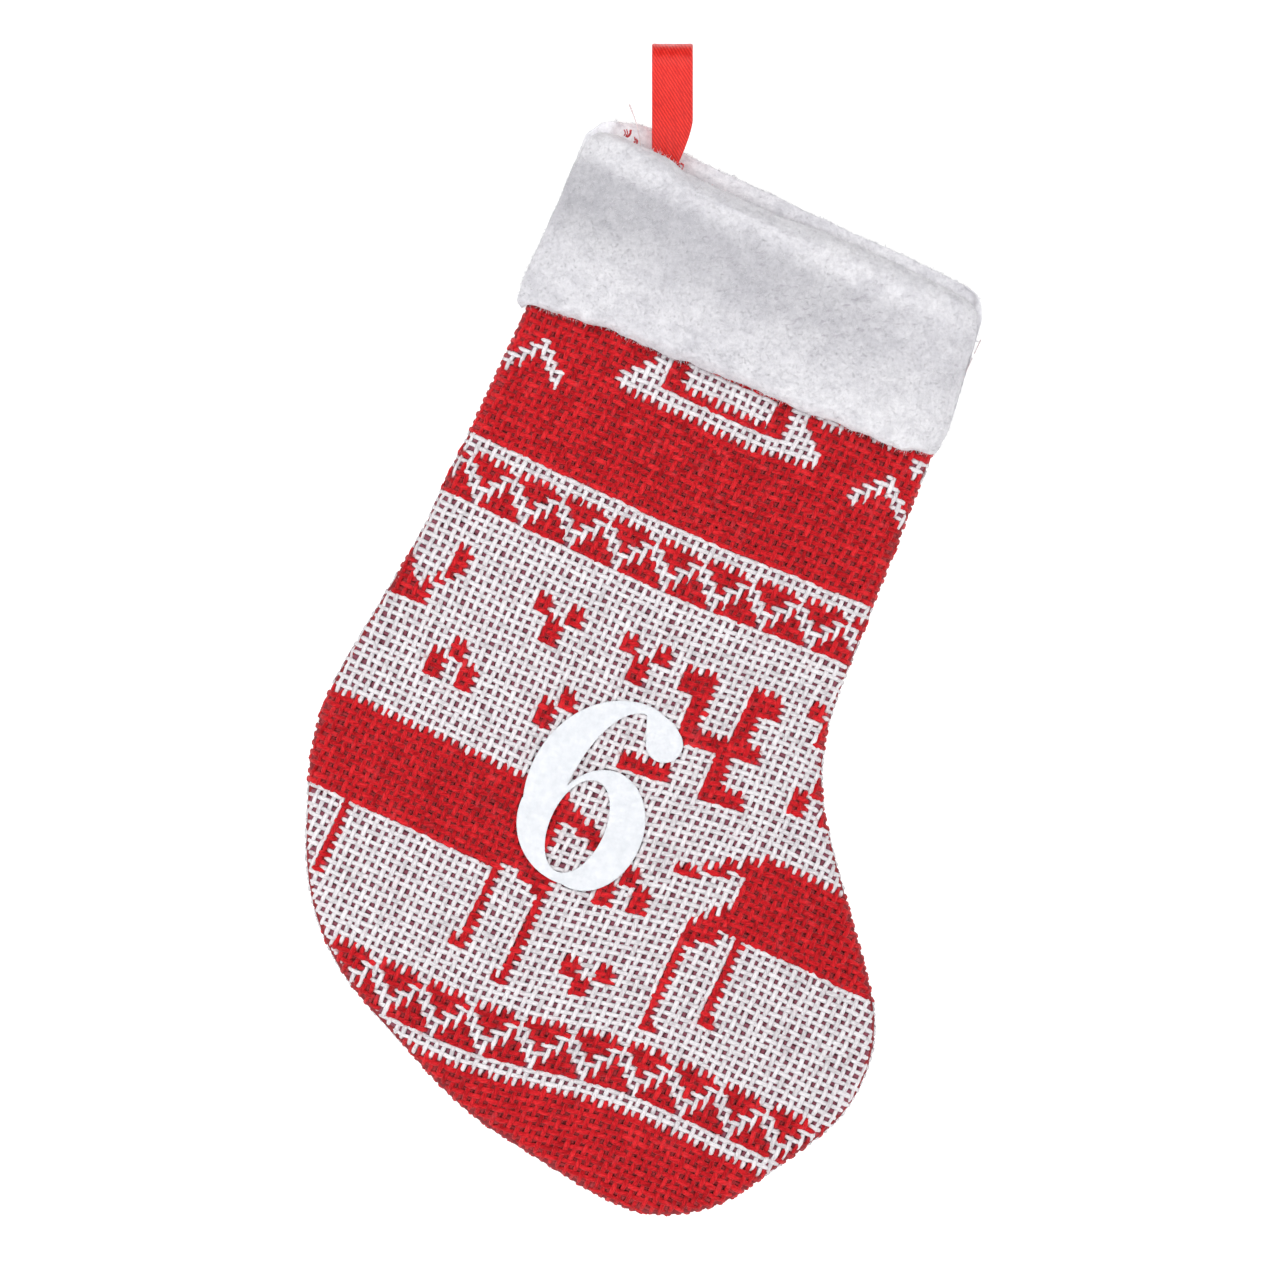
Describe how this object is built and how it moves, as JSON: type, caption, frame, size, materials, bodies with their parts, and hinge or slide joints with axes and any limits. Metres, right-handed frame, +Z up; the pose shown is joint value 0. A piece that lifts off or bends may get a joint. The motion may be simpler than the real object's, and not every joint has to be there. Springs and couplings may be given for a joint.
{
  "type": "hanging stocking",
  "caption": "Small hanging stocking: woven leg and foot with an open pocket, folded fleece cuff, film numeral and a ribbon loop for a peg.",
  "frame": {"origin": "centre of the peg that the ribbon loop hangs on", "axes": "+Z up, front with the numeral facing -Y, +X to the viewer's right; the peg runs along X and the leg hangs tilted 25 degrees about Y"},
  "size_m": [0.0991, 0.0142, 0.1715],
  "materials": {
    "ribbon": "satin woven ribbon",
    "woven_cloth": "open double plain weave in red and off-white yarn",
    "fleece": "short brushed pile",
    "film": "pearly transfer film",
    "red_thread": "spun thread",
    "pale_thread": "spun thread"
  },
  "bodies": {
    "loop_crown": {"ribbon_crown": "ribbon"},
    "loop_legs": {"ribbon_front_leg": "ribbon", "ribbon_back_leg": "ribbon"},
    "loop_tail": {"ribbon_tail": "ribbon"},
    "stocking": {"ribbon_sewn_ends": "ribbon", "ribbon_tack_stitches": "red_thread", "front_panel": "woven_cloth", "back_panel": "woven_cloth", "front_cuff": "fleece", "back_cuff": "fleece", "number_film": "film", "seam_needle_thread": "red_thread", "seam_bobbin_thread": "red_thread", "front_mouth_stitches": "pale_thread", "back_mouth_stitches": "pale_thread", "cuff_side_stitches": "pale_thread", "loose_thread_end": "pale_thread"}
  },
  "joints": [
    {"name": "ribbon_twist", "type": "hinge", "parent": "loop_crown", "child": "loop_legs", "pos_m": [0, 0, 0], "axis": [0, 0, 1], "range_deg": [-90, 90]},
    {"name": "ribbon_flex", "type": "hinge", "parent": "loop_legs", "child": "loop_tail", "pos_m": [0, 0, -0.0089], "axis": [1, 0, 0], "range_deg": [-45, 45]},
    {"name": "stocking_tilt", "type": "hinge", "parent": "loop_tail", "child": "stocking", "pos_m": [0, 0, -0.0144], "axis": [0, 1, 0], "range_deg": [-15, 15]}
  ]
}
